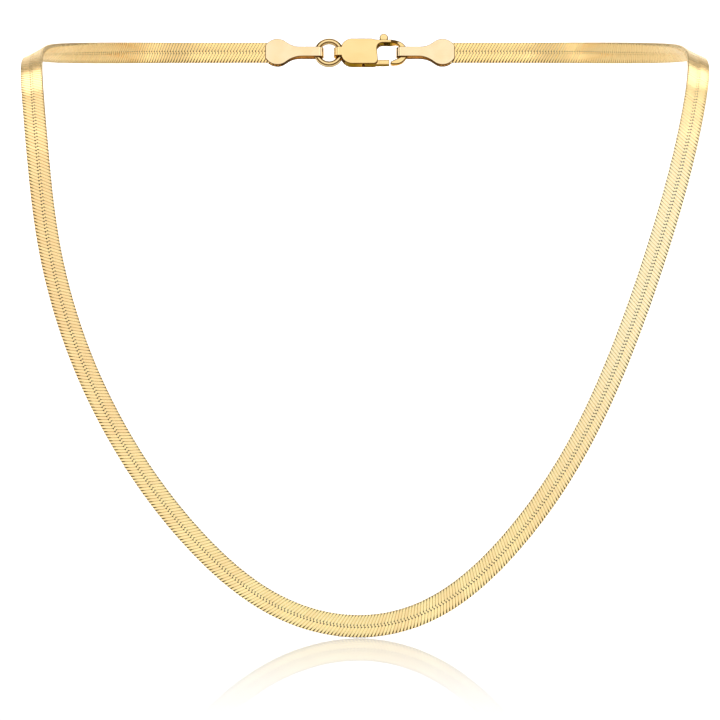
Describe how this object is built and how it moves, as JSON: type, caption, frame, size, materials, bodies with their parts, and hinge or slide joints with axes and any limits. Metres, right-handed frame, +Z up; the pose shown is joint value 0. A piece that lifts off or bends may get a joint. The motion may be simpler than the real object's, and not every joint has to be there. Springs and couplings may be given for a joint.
{
  "type": "herringbone necklace chain",
  "caption": "Flat herringbone neck chain in its worn loop, with folded end caps, a jump ring and a lobster clasp whose lever opens.",
  "frame": {"origin": "middle of the clasp's inner face, where it lies on the nape", "axes": "+X to the right as seen from the front, +Y backwards out of the nape, +Z up"},
  "size_m": [0.1227, 0.0733, 0.111],
  "materials": {
    "woven_gold": "pale yellow gold, flat polished links with fine dark seams",
    "polished_gold": "high-polish yellow gold"
  },
  "bodies": {
    "necklace": {"chain": "woven_gold", "end_cap_left": "polished_gold", "end_cap_right": "polished_gold", "jump_ring": "polished_gold", "clasp_body": "polished_gold"},
    "lever": {"clasp_lever": "polished_gold"}
  },
  "joints": [
    {"name": "lever_hinge", "type": "hinge", "parent": "necklace", "child": "lever", "pos_m": [0.0013, 0.00089, -0.00165], "axis": [0, -0.9703, 0.2419], "range_deg": [0, 25], "stiffness_Nm_per_rad": 0.02}
  ]
}
